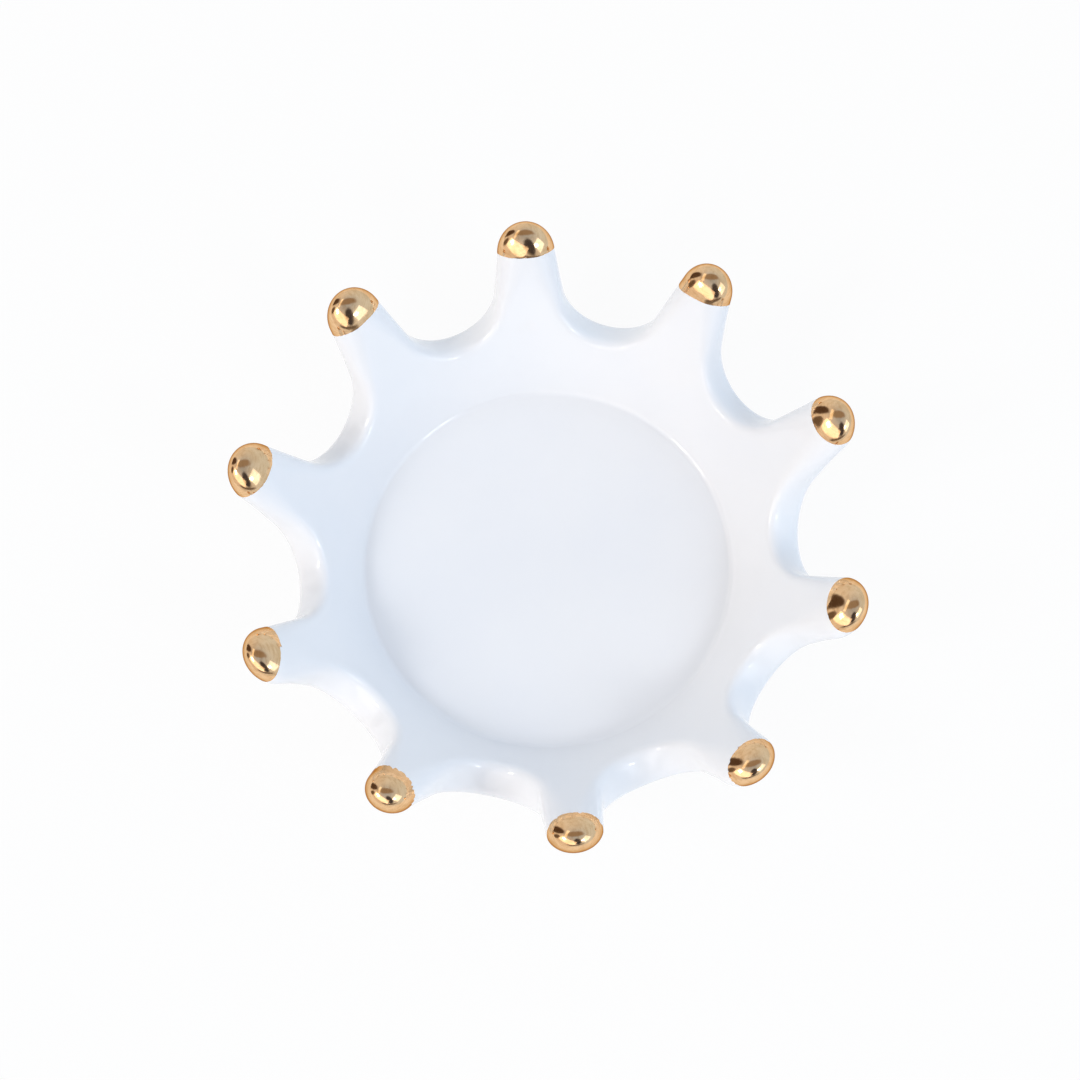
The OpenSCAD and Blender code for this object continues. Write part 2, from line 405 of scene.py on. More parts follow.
def end_index(k, across_steps, edge_steps):
    """Which point of the end row a point of the next loop joins on to."""
    if k <= across_steps:
        return 0
    if k <= across_steps + edge_steps:
        return k - across_steps
    loop = 2 * (across_steps + edge_steps)
    return edge_steps if k <= 2 * across_steps + edge_steps else loop - k


def body_index(i, station, k):
    """Fingers share the points in the middle of each notch."""
    i, k = i % FINGER_COUNT, k % LOOP
    if station == 0:
        return finger_start[i] + end_index(k, ACROSS_STEPS, EDGE_STEPS)
    if station == len(stations) and (k == 0 or k >= UNDER_END):
        i, k = (i - 1) % FINGER_COUNT, ACROSS_STEPS + (LOOP - k) % LOOP
    return finger_start[i] + EDGE_STEPS + 1 + (station - 1) * LOOP + k


def quad(a, b, c, d):
    """A face without the corners that fall together."""
    return list(dict.fromkeys((a, b, c, d)))


faces = []
for i in FINGERS:
    for station in range(len(stations)):
        for k in range(LOOP):
            faces.append(quad(
                body_index(i, station, k), body_index(i, station + 1, k),
                body_index(i, station + 1, k + 1), body_index(i, station, k + 1),
            ))
print("fingers:", len(faces), "faces")

# %% [markdown]
# ## The bowl and the underside
#
# Inside, the rings follow the wall down to the floor's middle. Underneath, the
# real dish has a soft belly between the rim and the foot: each ring lies on a
# curve that leaves the finger's underside along its own slope and arrives flat
# at the underside. A Subdivision modifier could round the belly as well, but it
# would shrink the rim that the steps before placed so carefully.

# %% Rings over the bowl and the belly
WALL_ROWS, CORNER_ROWS, FLOOR_ROWS = 10, 10, 14
BELLY_ROWS, UNDERSIDE_ROWS = 14, 8
FOOT_TOP = 1.5
UNDERSIDE_RADIUS = 32.0

ring_places = [
    across(i, stations[-1], n / ACROSS_STEPS)
    for i in FINGERS for n in range(ACROSS_STEPS)
]
RING = len(ring_places)


def add_rings(ring, rows, row_point, flip):
    """Rows of faces from a ring of known points inward; gives the last ring."""
    for row in range(1, rows + 1):
        new = list(range(len(points), len(points) + RING))
        points.extend(row_point(row, s, angle) for s, angle in ring_places)
        for n in range(RING):
            m = (n + 1) % RING
            face = (ring[n], new[n], new[m], ring[m])
            faces.append(face[::-1] if flip else face)
        ring = new
    return ring


def close_ring(ring, middle, flip):
    points.append(middle)
    for n in range(RING):
        face = (ring[n], len(points) - 1, ring[(n + 1) % RING])
        faces.append(face[::-1] if flip else face)


def bowl_point(row, s, angle):
    if row <= WALL_ROWS:
        return on_face(s + (corner_end - s) * row / WALL_ROWS, angle, 0)
    row -= WALL_ROWS
    if row <= CORNER_ROWS:
        s = corner_end + (FLOOR_RADIUS - corner_end) * row / CORNER_ROWS
        return on_face(s, angle, 0)
    row -= CORNER_ROWS
    return on_face(FLOOR_RADIUS * (1 - row / (FLOOR_ROWS + 1)), angle, 0)


def belly_point(row, s, angle):
    if row > BELLY_ROWS:
        share = 1 - (row - BELLY_ROWS) / (UNDERSIDE_ROWS + 1)
        return turned(UNDERSIDE_RADIUS * share, angle, FOOT_TOP)
    t, b, q = thickness(s), slope(s), row / BELLY_ROWS
    start = Vector((face_radius(s) + t * math.sin(b), face_height(s) - t * math.cos(b)))
    bend = Vector((start.x - (start.y - FOOT_TOP) / math.tan(b), FOOT_TOP))
    goal = Vector((UNDERSIDE_RADIUS, FOOT_TOP))
    c = (1 - q) ** 2 * start + 2 * q * (1 - q) * bend + q * q * goal
    return turned(c.x, angle, c.y)


def rim_ring(first, step):
    """The ring that all the fingers' last loops form, on top or underneath."""
    return [
        body_index(i, len(stations), first + step * n)
        for i in FINGERS for n in range(ACROSS_STEPS)
    ]


bowl_rows = WALL_ROWS + CORNER_ROWS + FLOOR_ROWS
inner = add_rings(rim_ring(0, 1), bowl_rows, bowl_point, False)
close_ring(inner, Vector((0, 0, FLOOR_HEIGHT)), False)
under_rows = BELLY_ROWS + UNDERSIDE_ROWS
inner = add_rings(rim_ring(UNDER_END, -1), under_rows, belly_point, True)
close_ring(inner, Vector((0, 0, FOOT_TOP)), True)
print("with bowl and belly:", len(faces), "faces, each ring of", RING)

# %% Make the body
# The seam points are shared, so the copies that nothing uses are dropped
used = sorted({v for face in faces for v in face})
renumber = {old: new for new, old in enumerate(used)}
body = mesh_piece(
    "porcelain_body",
    [points[v] for v in used],
    [[renumber[v] for v in face] for face in faces],
)
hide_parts("dish_body")
print("body:", len(body.data.vertices), "points,", len(body.data.polygons), "faces")

# %% [markdown]
# ## Where the gold ends
#
# Gold lustre is a liquid that a decorator brushes over the fired glaze and fires
# again. It leaves a film far thinner than paper that follows every bump below
# it. Its edge is where the brush stopped: a slow curve, longer on one side than
# the other, and on some fingers with fine ticks left by single bristles.
#
# Painting the gold as a colour mask on the body would be quick, but an edge made
# of real points stays sharp at any distance. For every direction round the
# finger, three lengths blend into one, noise makes it wander, and a short search
# finds the station where the skin lies that far from the finger's end.

# %% How far the gold reaches
# Length of the gold on top, on one flank and on the other, and its bristle ticks
GOLD_TOP = [6.0, 5.9, 5.4, 5.9, 6.2, 5.3, 6.6, 5.5, 5.2, 6.1]
GOLD_LEFT = [4.0, 6.8, 6.0, 6.4, 4.7, 3.3, 5.4, 4.8, 4.2, 4.6]
GOLD_RIGHT = [3.8, 5.7, 5.7, 5.8, 5.8, 6.6, 6.8, 4.4, 3.3, 3.4]
TICKS = [0.03, 0.02, 0.08, 0.05, 0.15, 0.04, 0.5, 0.25, 0.2, 0.05]
TICK_SCALE, TICK_SHIFT, TICK_GAIN = 9, 7.7, 2.2
GOLD_UNDER_LEAST = 2.0
GOLD_WANDER = 0.25  # how far the edge strays from a clean curve
WANDER_SCALE, WANDER_SHIFT = 1.2, 3.1
FLAT_ANGLE = 0.2  # the part of a full turn that the flat top takes up, in radians
SEARCH_STEPS = 22


def round_angle(turn):
    """The direction round a finger: 0 on top, 90 degrees on its left flank."""
    turn = turn % 4
    if turn < 1:
        return (turn - 0.5) * FLAT_ANGLE
    if turn < 2:
        return FLAT_ANGLE / 2 + (math.pi - FLAT_ANGLE) * (turn - 1)
    if turn < 3:
        return math.pi + (turn - 2.5) * FLAT_ANGLE
    return math.pi + FLAT_ANGLE / 2 + (math.pi - FLAT_ANGLE) * (turn - 3)


def gold_length(i, turn):
    a = round_angle(turn)
    flanks = (GOLD_LEFT[i] + GOLD_RIGHT[i]) / 2
    length = (
        flanks
        + (GOLD_LEFT[i] - GOLD_RIGHT[i]) / 2 * math.sin(a)
        + (GOLD_TOP[i] - flanks) * math.cos(a)
    )
    ring = turned(1, a, WANDER_SHIFT * i)
    stray = GOLD_WANDER * noise.noise(ring * WANDER_SCALE)
    bristle = noise.noise(turned(TICK_SCALE, a, TICK_SHIFT * i))
    length = max(GOLD_UNDER_LEAST, length) + stray
    return length - TICKS[i] * max(0.0, bristle * TICK_GAIN)


def laid_out(i, turn, t):
    """How far along the finger's own axis a skin point lies, laid out flat."""
    turn = turn % 4
    if turn < 1 or 2 < turn < 3:
        s, angle = across(i, t, turn if turn < 1 else 3 - turn)
        return s * math.cos(angle - finger_angle(i))
    side, share = (1, turn - 1) if turn <= 2 else (-1, 4 - turn)
    q, _ = over_edge(i, side, t, share)
    return q.x


def station_at_length(i, turn, length):
    """The station where the skin lies that far from the finger's end."""
    low, high = 0.0, 3.0
    for _ in range(SEARCH_STEPS):
        middle = (low + high) / 2
        if finger_reach(i) - laid_out(i, turn, middle) > length:
            high = middle
        else:
            low = middle
    return (low + high) / 2


print("gold on top of each finger, mm:",
      [round(gold_length(i, 0.5), 1) for i in FINGERS])

# %% [markdown]
# ## The gold on the finger ends
#
# On the real dish each finger end wears a film with nothing below its edge but
# glaze. In the model it is a thin closed shell, from just above the glaze to
# just inside it, so that it is a solid piece of its own. A Solidify modifier on
# an open skin would do the same; here the skin formula gives both faces at once.

# %% Lay the gold caps
GOLD_OUT = 0.02  # the film stands this far off the glaze
GOLD_IN = -0.06  # and its back lies this far inside it
GOLD_ROWS, GOLD_BACK_ROWS = 22, 6
GOLD_EDGE_STEPS, GOLD_ACROSS_STEPS = 64, 8
cap_turns = round_trip(GOLD_ACROSS_STEPS, GOLD_EDGE_STEPS)
CAP_LOOP = len(cap_turns)


def gold_cap(i):
    edge = [station_at_length(i, turn, gold_length(i, turn)) for turn in cap_turns]
    points, faces = [], []

    def loops(rows, out):
        """Loops from the finger's end to the gold's edge; gives the first point."""
        first = len(points)
        points.extend(end_row(i, GOLD_EDGE_STEPS, out))
        for row in range(1, rows + 1):
            points.extend(
                skin_point(i, t * row / rows, turn, out)
                for t, turn in zip(edge, cap_turns)
            )
        return first

    def index(first, row, k):
        k = k % CAP_LOOP
        if row == 0:
            return first + end_index(k, GOLD_ACROSS_STEPS, GOLD_EDGE_STEPS)
        return first + GOLD_EDGE_STEPS + 1 + (row - 1) * CAP_LOOP + k

    def skin(first, rows, flip):
        for row in range(rows):
            for k in range(CAP_LOOP):
                face = quad(
                    index(first, row, k), index(first, row + 1, k),
                    index(first, row + 1, k + 1), index(first, row, k + 1),
                )
                faces.append(face[::-1] if flip else face)

    outer = loops(GOLD_ROWS, GOLD_OUT)
    skin(outer, GOLD_ROWS, False)
    back = loops(GOLD_BACK_ROWS, GOLD_IN)
    skin(back, GOLD_BACK_ROWS, True)
    for k in range(CAP_LOOP):
        faces.append((
            index(outer, GOLD_ROWS, k), index(back, GOLD_BACK_ROWS, k),
            index(back, GOLD_BACK_ROWS, k + 1), index(outer, GOLD_ROWS, k + 1),
        ))
    cap = mesh_piece(f"gold_cap_{i + 1:02d}", points, faces)
    rim = {index(outer, GOLD_ROWS, k) for k in range(CAP_LOOP)}
    for line in cap.data.edges:
        line.use_edge_sharp = rim.issuperset(line.vertices)
    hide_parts(f"gold_tip_{i + 1:02d}")
    return cap


caps = [gold_cap(i) for i in FINGERS]
print("gold caps:", len(caps), "with", sum(len(c.data.polygons) for c in caps), "faces")

# %% [markdown]
# ## The foot
#
# The dish stands on a low ring. Before the firing, the maker wipes the glaze off
# its flat face, so that it doesn't stick to the kiln shelf. What is left is bare
# clay, dull and faintly grainy.
#
# A ring is a lathe shape: a short profile carried once round the middle. A torus
# would be too round and a plain tube too sharp, so the profile is drawn, with a
# small worn arc at each lower edge.

# %% Turn the foot
FOOT_OUTER, FOOT_INNER = 30.0, 27.0
FOOT_EDGE = 0.4
FOOT_SUNK = 0.2  # how far the ring runs up into the body
RING_STEPS, ARC_STEPS = 180, 6


def lathe(name, profile):
    """A closed profile of (radius, height) points, carried round the middle."""
    points, faces = [], []
    count = len(profile)
    for n in range(RING_STEPS):
        angle = math.tau * n / RING_STEPS
        points += [turned(radius, angle, height) for radius, height in profile]
        m = (n + 1) % RING_STEPS
        for k in range(count):
            j = (k + 1) % count
            faces.append((n * count + k, n * count + j, m * count + j, m * count + k))
    piece = mesh_piece(name, points, faces)
    return piece


def arc(middle_r, middle_z, radius, start, stop):
    """Points on an arc, angles in degrees; 0 points outward, 90 up."""
    angles = [
        math.radians(start + (stop - start) * n / ARC_STEPS)
        for n in range(ARC_STEPS + 1)
    ]
    return [
        (middle_r + radius * math.cos(a), middle_z + radius * math.sin(a))
        for a in angles
    ]


foot = lathe(
    "clay_foot",
    [(FOOT_INNER, FOOT_TOP + FOOT_SUNK)]
    + arc(FOOT_INNER + FOOT_EDGE, FOOT_EDGE, FOOT_EDGE, 180, 270)
    + arc(FOOT_OUTER - FOOT_EDGE, FOOT_EDGE, FOOT_EDGE, 270, 360)
    + [(FOOT_OUTER, FOOT_TOP + FOOT_SUNK)],
)
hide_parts("foot_ring")
print("foot:", len(foot.data.polygons), "faces")

# %% [markdown]
# ## Tools for the finishes
#
# Real surfaces are never one flat colour, so every finish here is a small tree of
# nodes. Image textures would need a file and a way to wrap it round the fingers;
# noise in the object's own space needs neither and looks right from all sides.
# The helpers below keep each tree short: a noise, a ramp that turns it into
# colours or greys, a mix of two colours, and a bump.

# %% Helpers for node trees
COLOUR_FACTOR, COLOUR_A, COLOUR_B, COLOUR_RESULT = 0, 6, 7, 2  # the Mix node's sockets


def feed(tree, value, socket):
    """Link a socket to another one, or set it to a plain value."""
    if isinstance(value, bpy.types.NodeSocket):
        tree.links.new(value, socket)
    else:
        socket.default_value = value


def new_material(name):
    """A material with one shader: itself, its tree, the shader, the place."""
    material = bpy.data.materials.new(name)
    material.use_nodes = True
    tree = material.node_tree
    tree.nodes.clear()
    shader = tree.nodes.new("ShaderNodeBsdfPrincipled")
    output = tree.nodes.new("ShaderNodeOutputMaterial")
    tree.links.new(shader.outputs["BSDF"], output.inputs["Surface"])
    place = tree.nodes.new("ShaderNodeTexCoord").outputs["Object"]
    return material, tree, shader, place


def noise_grey(tree, place, scale, detail=3.0):
    node = tree.nodes.new("ShaderNodeTexNoise")
    node.inputs["Scale"].default_value = scale
    node.inputs["Detail"].default_value = detail
    tree.links.new(place, node.inputs["Vector"])
    return node.outputs["Fac"]


def grey(value):
    return (value, value, value)


def ramp(tree, source, low, high):
    """A colour ramp on a grey value; low and high are (position, colour)."""
    node = tree.nodes.new("ShaderNodeValToRGB")
    for stop, (position, colour) in zip(node.color_ramp.elements, (low, high)):
        stop.position = position
        stop.color = (*colour, 1)
    tree.links.new(source, node.inputs["Fac"])
    return node.outputs["Color"]


def mix(tree, kind, factor, a, b):
    node = tree.nodes.new("ShaderNodeMix")
    node.data_type = "RGBA"
    node.blend_type = kind
    feed(tree, factor, node.inputs[COLOUR_FACTOR])
    feed(tree, a, node.inputs[COLOUR_A])
    feed(tree, b, node.inputs[COLOUR_B])
    return node.outputs[COLOUR_RESULT]


def bump(tree, shader, height, strength, distance, below=None):
    """A bump on the shader, on top of another one where below is given."""
    node = tree.nodes.new("ShaderNodeBump")
    node.inputs["Strength"].default_value = strength
    node.inputs["Distance"].default_value = distance
    tree.links.new(height, node.inputs["Height"])
    if below is not None:
        tree.links.new(below, node.inputs["Normal"])
    tree.links.new(node.outputs["Normal"], shader.inputs["Normal"])
    return node.outputs["Normal"]


print("materials so far:", len(bpy.data.materials))

# %% [markdown]
# ## White glaze
#
# Glaze is clear glass over white clay. It is smooth enough to mirror a window,
# but it isn't perfect: it dimples very slightly, its gloss varies from place to
# place, and here and there an iron speck shows through.
#
# It could be built as a coat over a dull base. The clay below is as white as the
# glaze, so one Principled shader with a low roughness looks the same and stays
# simple. A slow noise shifts the colour by a percent or two, another varies the
# roughness, two fine bumps give the dimples, and a Voronoi pattern, cut off close
# to its cell centres, gives the few specks.

# %% Make the glaze
GLAZE_IOR = 1.5
TONE_SCALE = 38
TONES = (0.35, (0.905, 0.918, 0.945)), (0.65, (0.93, 0.938, 0.955))
GLOSS_SCALE = 120
GLOSS = (0.3, grey(0.03)), (0.7, grey(0.06))
SPECK_SCALE, SPECK_COLOUR = 85, (0.42, 0.40, 0.40, 1)
SPECK_EDGE = (0.025, grey(0.0)), (0.04, grey(1.0))
SPECK_SPREAD = 240
SPECK_KEPT = (0.66, grey(1.0)), (0.72, grey(0.0))  # most cells stay without a speck
DIMPLE_SCALE, DIMPLE_STRENGTH, DIMPLE_DEPTH = 90, 0.35, 0.0002
PORE_SCALE, PORE_STRENGTH, PORE_DEPTH = 900, 0.12, 0.00003

glaze, tree, shader, place = new_material("white_glaze_finish")
tone = ramp(tree, noise_grey(tree, place, TONE_SCALE), *TONES)
cells = tree.nodes.new("ShaderNodeTexVoronoi")
cells.inputs["Scale"].default_value = SPECK_SCALE
tree.links.new(place, cells.inputs["Vector"])
kept = ramp(tree, noise_grey(tree, place, SPECK_SPREAD, detail=0), *SPECK_KEPT)
clear = mix(tree, "ADD", 1.0, ramp(tree, cells.outputs["Distance"], *SPECK_EDGE), kept)
feed(tree, mix(tree, "MIX", clear, SPECK_COLOUR, tone), shader.inputs["Base Color"])
gloss = ramp(tree, noise_grey(tree, place, GLOSS_SCALE), *GLOSS)
feed(tree, gloss, shader.inputs["Roughness"])
shader.inputs["IOR"].default_value = GLAZE_IOR
dimples = bump(tree, shader, noise_grey(tree, place, DIMPLE_SCALE, detail=1),
               DIMPLE_STRENGTH, DIMPLE_DEPTH)
bump(tree, shader, noise_grey(tree, place, PORE_SCALE, detail=2),
     PORE_STRENGTH, PORE_DEPTH, dimples)
print("glaze:", len(tree.nodes), "nodes")

# %% [markdown]
# ## Gold lustre
#
# The film is real metal, so the shader is fully metallic and its colour is the
# colour of its reflections. Where the brush left it thinner it turns browner and
# a little duller, in fine streaks along the stroke. Seen at a grazing angle it
# is darker and redder than polished gold, which the specular tint gives.
#
# An anisotropic shader would streak the highlights, but not the colour. Stretched
# noise does both: its space is squeezed in one direction and drawn long in
# another.

# %% Make the gold
GRAZING_TINT = (0.50, 0.29, 0.17, 1)
STREAK_STRETCH, STREAK_TURN = (1.0, 0.35, 2.4), (0.3, 0.5, 0.6)
STREAK_SCALE, STREAK_DETAIL = 1500, 4
POOL_SCALE = 420
METAL = (0.3, (0.80, 0.50, 0.26)), (0.65, (0.90, 0.60, 0.34))
THINNED = (0.3, (0.88, 0.84, 0.78)), (0.55, grey(1.0))
POLISH = (0.3, grey(0.15)), (0.7, grey(0.07))
POOL_STRENGTH, POOL_DEPTH = 0.2, 0.0001
STREAK_STRENGTH, STREAK_DEPTH = 0.07, 0.00003

gold, tree, shader, place = new_material("gold_lustre_finish")
stretch = tree.nodes.new("ShaderNodeMapping")
stretch.inputs["Scale"].default_value = STREAK_STRETCH
stretch.inputs["Rotation"].default_value = STREAK_TURN
tree.links.new(place, stretch.inputs["Vector"])
streaks = noise_grey(tree, stretch.outputs["Vector"], STREAK_SCALE, STREAK_DETAIL)
pools = noise_grey(tree, place, POOL_SCALE)
metal, thinned = ramp(tree, pools, *METAL), ramp(tree, streaks, *THINNED)
feed(tree, mix(tree, "MULTIPLY", 1.0, metal, thinned), shader.inputs["Base Color"])
feed(tree, ramp(tree, streaks, *POLISH), shader.inputs["Roughness"])
shader.inputs["Metallic"].default_value = 1.0
shader.inputs["Specular Tint"].default_value = GRAZING_TINT
waves = bump(tree, shader, pools, POOL_STRENGTH, POOL_DEPTH)
bump(tree, shader, streaks, STREAK_STRENGTH, STREAK_DEPTH, waves)
print("gold:", len(tree.nodes), "nodes")

# %% [markdown]
# ## Bare clay
#
# Unglazed porcelain is off-white and dull, with a grain finer than sand. A plain
# rough white would pass from above, but the foot is also seen from below. So a
# cloudy noise drifts between two off-whites and two roughnesses, and a fine grain
# darkens and bumps them.

# %% Make the bare clay
CLOUD_SCALE, GRAIN_SCALE = 160, 2600
CLAY = (0.35, (0.66, 0.61, 0.54)), (0.65, (0.76, 0.72, 0.65))
CLAY_GRAIN = (0.3, grey(0.82)), (0.55, grey(1.0))
CLAY_ROUGH = (0.3, grey(0.75)), (0.7, grey(0.92))
GRAIN_STRENGTH, GRAIN_DEPTH = 0.5, 0.00008

clay, tree, shader, place = new_material("bare_clay_finish")
cloud = noise_grey(tree, place, CLOUD_SCALE)
grain = noise_grey(tree, place, GRAIN_SCALE, detail=2)
base, speckle = ramp(tree, cloud, *CLAY), ramp(tree, grain, *CLAY_GRAIN)
feed(tree, mix(tree, "MULTIPLY", 1.0, base, speckle), shader.inputs["Base Color"])
feed(tree, ramp(tree, cloud, *CLAY_ROUGH), shader.inputs["Roughness"])
bump(tree, shader, grain, GRAIN_STRENGTH, GRAIN_DEPTH)
print("clay:", len(tree.nodes), "nodes")

# %% Give each piece its finish
for piece, material in [(body, glaze), (foot, clay)] + [(cap, gold) for cap in caps]:
    piece.data.materials.clear()
    piece.data.materials.append(material)
print("finished pieces:", 2 + len(caps))

# %% [markdown]
# ## The table
#
# The dish is shown on a plain white table. A stronger lamp would turn the table
# white, but it would burn out the dish as well. So the table keeps a pale paint
# for the light that it passes on to the dish, and only where the camera looks at
# it, or a reflection does, most of it is a plain white glow. The small rest of
# paint still shows the dish's soft shadow, and the gold mirrors the white it
# stands on.

# %% Lay the table
TABLE_HALF = 1.6
TABLE_PAINT = (0.88, 0.88, 0.88, 1)
TABLE_GLOW = (1, 1, 1, 1)
GLOW_SHARE = 0.92


def calculate(tree, operation, *values):
    """A math node on numbers and sockets."""
    node = tree.nodes.new("ShaderNodeMath")
    node.operation = operation
    for value, socket in zip(values, node.inputs):
        feed(tree, value, socket)
    return node.outputs[0]


corners = ((-1, -1), (1, -1), (1, 1), (-1, 1))
mesh = bpy.data.meshes.new("table_top")
mesh.from_pydata(
    [(x * TABLE_HALF, y * TABLE_HALF, 0) for x, y in corners], [], [(0, 1, 2, 3)]
)
table = bpy.data.objects.new("table_top", mesh)
bpy.context.scene.collection.objects.link(table)

white_table = bpy.data.materials.new("white_table_finish")
white_table.use_nodes = True
tree = white_table.node_tree
tree.nodes.clear()
output = tree.nodes.new("ShaderNodeOutputMaterial")
paint = tree.nodes.new("ShaderNodeBsdfDiffuse")
paint.inputs["Color"].default_value = TABLE_PAINT
glow = tree.nodes.new("ShaderNodeEmission")
glow.inputs["Color"].default_value = TABLE_GLOW
glow.inputs["Strength"].default_value = 1.0
looks = tree.nodes.new("ShaderNodeLightPath").outputs
seen = looks["Is Camera Ray"]
for mirrored in ("Is Glossy Ray", "Is Transmission Ray"):
    seen = calculate(tree, "MAXIMUM", seen, looks[mirrored])
blend = tree.nodes.new("ShaderNodeMixShader")
feed(tree, calculate(tree, "MULTIPLY", seen, GLOW_SHARE), blend.inputs[0])
tree.links.new(paint.outputs[0], blend.inputs[1])
tree.links.new(glow.outputs[0], blend.inputs[2])
tree.links.new(blend.outputs[0], output.inputs["Surface"])
table.data.materials.append(white_table)
print("table:", 2 * TABLE_HALF, "m wide")

# %% [markdown]
# ## Daylight
#
# Daylight comes from two windows: a large one at the front left and a smaller,
# cooler one at the front right. The sky in each is brighter than what stands
# below it, and a roof window adds a warm patch at the back. Their reflections
# draw the shape of the glossy dish, so their places matter more than their
# power.
#
# A sun lamp or one big soft box would light the dish as well, but the gold would
# have nothing to mirror. Rectangular area lamps stand in for the window panes.

# %% Hang the windows
WINDOW_DISTANCE = 1.6
LARGE_SKY, SMALL_SKY = (18, 17.7, 17.1), (15, 15.6, 16.2)
WINDOWS = [  # azimuth and height, how wide and tall, all in degrees, and brightness
    ("large_window", 226, 40, 76, 32, (1.05, 0.93, 0.80)),
    ("large_window_sky_1", 191, 42, 5, 9, LARGE_SKY),
    ("large_window_sky_2", 203, 42, 5, 9, LARGE_SKY),
    ("small_window", 328, 35, 34, 30, (0.88, 1.0, 1.13)),
    ("small_window_sky_1", 310, 41, 4, 7, SMALL_SKY),
    ("small_window_sky_2", 318, 41, 4, 7, SMALL_SKY),
    ("roof_window", 152, 57, 34, 10, (0.8, 0.71, 0.52)),
]


def direction(azimuth, height):
    """A direction from the dish; azimuth 0 is +X and 90 is +Y, in degrees."""
    a, h = math.radians(azimuth), math.radians(height)
    return Vector((math.cos(a) * math.cos(h), math.sin(a) * math.cos(h), math.sin(h)))


def window_side(degrees):
    return 2 * WINDOW_DISTANCE * math.tan(math.radians(degrees / 2))


def window(name, azimuth, height, wide, tall, brightness):
    """A soft rectangle of light, wide and tall in degrees as the dish sees it.
    A brightness of 1 shows as white in a perfect mirror."""
    way = direction(azimuth, height)
    data = bpy.data.lights.new(name, "AREA")
    data.shape = "RECTANGLE"
    data.size, data.size_y = window_side(wide), window_side(tall)
    strongest = max(brightness)
    data.energy = math.pi * data.size * data.size_y * strongest
    data.color = [value / strongest for value in brightness]
    lamp = bpy.data.objects.new(name, data)
    lamp.location = way * WINDOW_DISTANCE
    lamp.rotation_mode = "QUATERNION"
    lamp.rotation_quaternion = way.to_track_quat("Z", "Y")
    bpy.context.scene.collection.objects.link(lamp)


for row in WINDOWS:
    window(*row)
print("windows:", len(WINDOWS))

# %% [markdown]
# ## The room
#
# Gold looks like gold only when it has something dark to mirror. A photographed
# surrounding as an image would do it, but the lesson uses no images. So the room
# is painted with nodes: walls of slightly different colours, a ceiling, and a
# few soft shades where a doorway, the wall between the windows and whoever
# stands at the camera would be.

# %% Measure directions in the room
SHADE_BLUR = 0.45  # the part of a shade that fades out
SHADE_WANDER = 0.5  # how far its outline strays from an oval
WANDER_SIZE, WANDER_DETAIL = 4.0, 2.0

world = bpy.data.worlds.new("room")
bpy.context.scene.world = world
world.use_nodes = True
room = world.node_tree
room.nodes.clear()
ray = room.nodes.new("ShaderNodeTexCoord").outputs["Generated"]
wander = noise_grey(room, ray, WANDER_SIZE, WANDER_DETAIL)


def towards(way):
    """How much a ray points that way: 1 along it, -1 against it."""
    node = room.nodes.new("ShaderNodeVectorMath")
    node.operation = "DOT_PRODUCT"
    node.inputs[1].default_value = way
    room.links.new(ray, node.inputs[0])
    return node.outputs["Value"]


def squared_share(value, half_size):
    """How far a direction is from a shade's middle, as a share of its half size."""
    share = calculate(room, "DIVIDE", value, math.sin(math.radians(half_size)))
    return calculate(room, "POWER", share, 2.0)


def shade_share(azimuth, height, wide, tall):
    """1 inside an oval of the room with a wandering outline, 0 outside it."""
    sideways = squared_share(towards(direction(azimuth + 90, 0)), wide)
    upward = squared_share(towards(direction(azimuth + 180, 90 - height)), tall)
    stray = calculate(room, "MULTIPLY_ADD", wander, SHADE_WANDER * 2, 1 - SHADE_WANDER)
    reach = calculate(room, "MULTIPLY", calculate(room, "ADD", sideways, upward), stray)
    edge = room.nodes.new("ShaderNodeMapRange")
    edge.interpolation_type = "SMOOTHSTEP"
    edge.inputs["From Min"].default_value = 1 + SHADE_BLUR
    edge.inputs["From Max"].default_value = 1 - SHADE_BLUR
    room.links.new(reach, edge.inputs["Value"])
    ahead = calculate(room, "GREATER_THAN", towards(direction(azimuth, height)), 0.0)
    return calculate(room, "MULTIPLY", edge.outputs["Result"], ahead)


print("room so far:", len(room.nodes), "nodes")

# %% Paint the room
ROOM = (0.37, 0.39, 0.43)
WALLS = [  # the side that a wall stands on, and what it adds to the room's light
    ((1, 0, 0), (0.13, 0.23, 0.33)),
    ((-1, 0, 0), (0.29, 0.20, 0.11)),
    ((0, 1, 0), (0.20, 0.23, 0.24)),
    ((0, -1, 0), (0.22, 0.22, 0.22)),
]
CEILING = (0.23, 0.41, 0.76)
CEILING_SHARE, CEILING_FALL = 0.6, 4.0
SHADES = [  # azimuth and height of the middle, half width and half height, colour
    (284, 46, 15, 26, (0.06, 0.06, 0.08)),
    (146, 18, 13, 28, (0.10, 0.065, 0.045)),
    (175, 13, 10, 14, (0.16, 0.12, 0.09)),
    (270, 15, 34, 5, (0.16, 0.14, 0.13)),
    (90, 78, 34, 15, (0.34, 0.29, 0.24)),
]

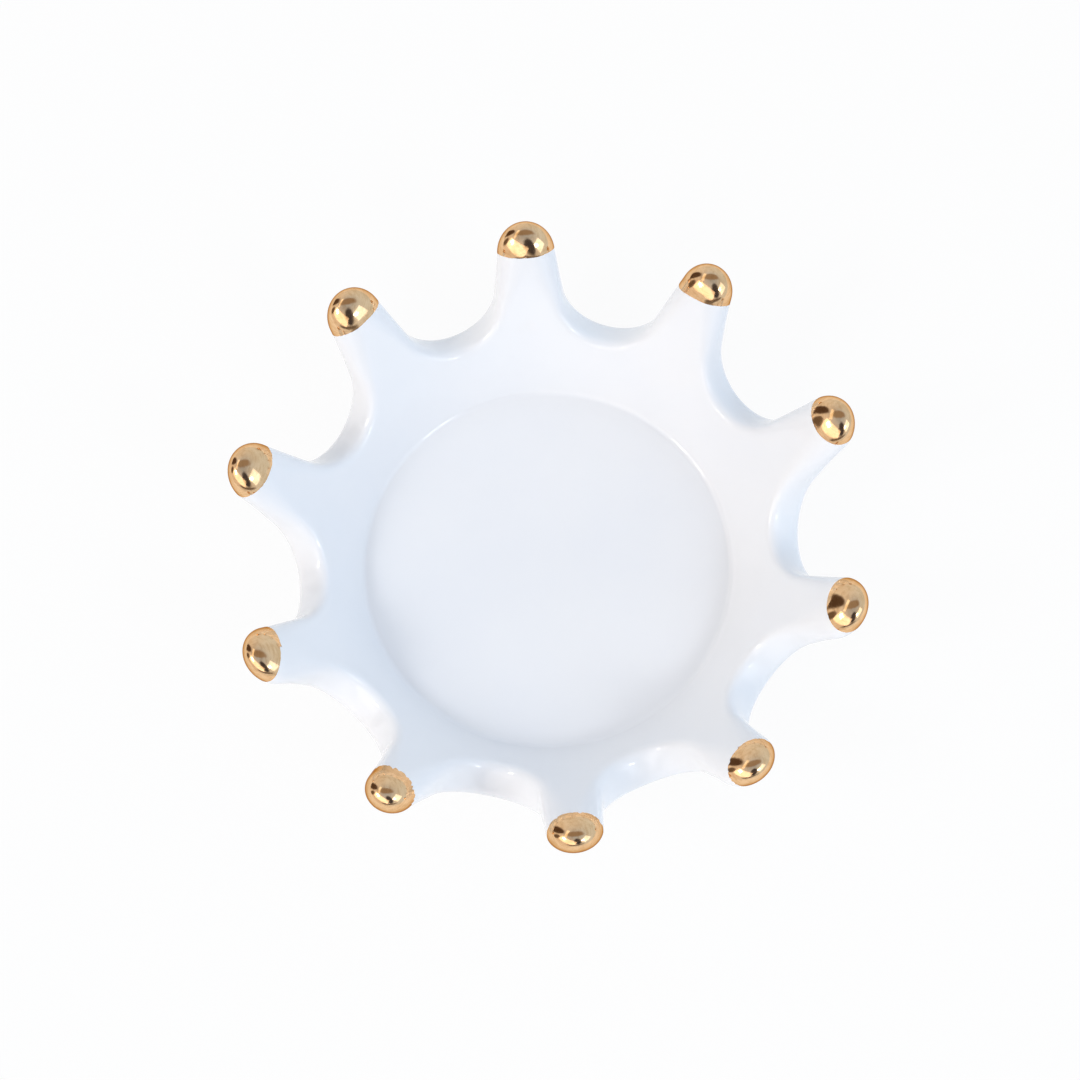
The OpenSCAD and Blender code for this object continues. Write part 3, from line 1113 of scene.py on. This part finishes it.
light = (*ROOM, 1)
for way, colour in WALLS:
    half = calculate(room, "MULTIPLY_ADD", towards(way), 0.5, 0.5)
    wall = mix(room, "MULTIPLY", 1.0, half, (*colour, 1))
    light = mix(room, "ADD", 1.0, light, wall)
upright = calculate(room, "MAXIMUM", towards((0, 0, 1)), 0.0)
overhead = calculate(room, "POWER", upright, CEILING_FALL)
covered = calculate(room, "MULTIPLY", overhead, CEILING_SHARE)
light = mix(room, "MIX", covered, light, (*CEILING, 1))
for *oval, colour in SHADES:
    light = mix(room, "MIX", shade_share(*oval), light, (*colour, 1))

background = room.nodes.new("ShaderNodeBackground")
feed(room, light, background.inputs["Color"])
background.inputs["Strength"].default_value = 1.0
output = room.nodes.new("ShaderNodeOutputWorld")
room.links.new(background.outputs[0], output.inputs["Surface"])
print("room:", len(room.nodes), "nodes")

# %% [markdown]
# ## Camera
#
# The photograph looks down at a steep angle. The camera below stands where it stood,
# which a fit of the dish's outline gave: 74 degrees above the table and 0.8 m away, a
# touch to one side and rolled by a few degrees. A Track To constraint would aim it too,
# but it can't give the roll, so the three axes are worked out one by one.

# %% Set the camera
CAMERA_HEIGHT = math.radians(74)
CAMERA_DISTANCE = 0.8
CAMERA_SIDE = math.radians(-1.99)
CAMERA_ROLL = math.radians(2.6)
LENS, SENSOR = 145.07, 36
SHIFT_X, SHIFT_Y = -0.00692, 0.02706
TARGET = Vector((0, 0, 0.005))

high, level = math.sin(CAMERA_HEIGHT), math.cos(CAMERA_HEIGHT)
right, up, back = Vector((1, 0, 0)), Vector((0, high, level)), Vector((0, -level, high))
rolled_right = right * math.cos(CAMERA_ROLL) - up * math.sin(CAMERA_ROLL)
rolled_up = right * math.sin(CAMERA_ROLL) + up * math.cos(CAMERA_ROLL)
aside = Matrix.Rotation(CAMERA_SIDE, 3, "Z")
axes = Matrix((aside @ rolled_right, aside @ rolled_up, aside @ back)).transposed()
camera_data = bpy.data.cameras.new("camera")
camera_data.lens, camera_data.sensor_width = LENS, SENSOR
camera_data.shift_x, camera_data.shift_y = SHIFT_X, SHIFT_Y
camera = bpy.data.objects.new("camera", camera_data)
camera_place = TARGET + aside @ back * CAMERA_DISTANCE
camera.matrix_world = Matrix.Translation(camera_place) @ axes.to_4x4()
bpy.context.scene.collection.objects.link(camera)
bpy.context.scene.camera = camera
bpy.context.scene.view_settings.view_transform = "Standard"
print("camera at, m:", [round(v, 3) for v in camera_place])
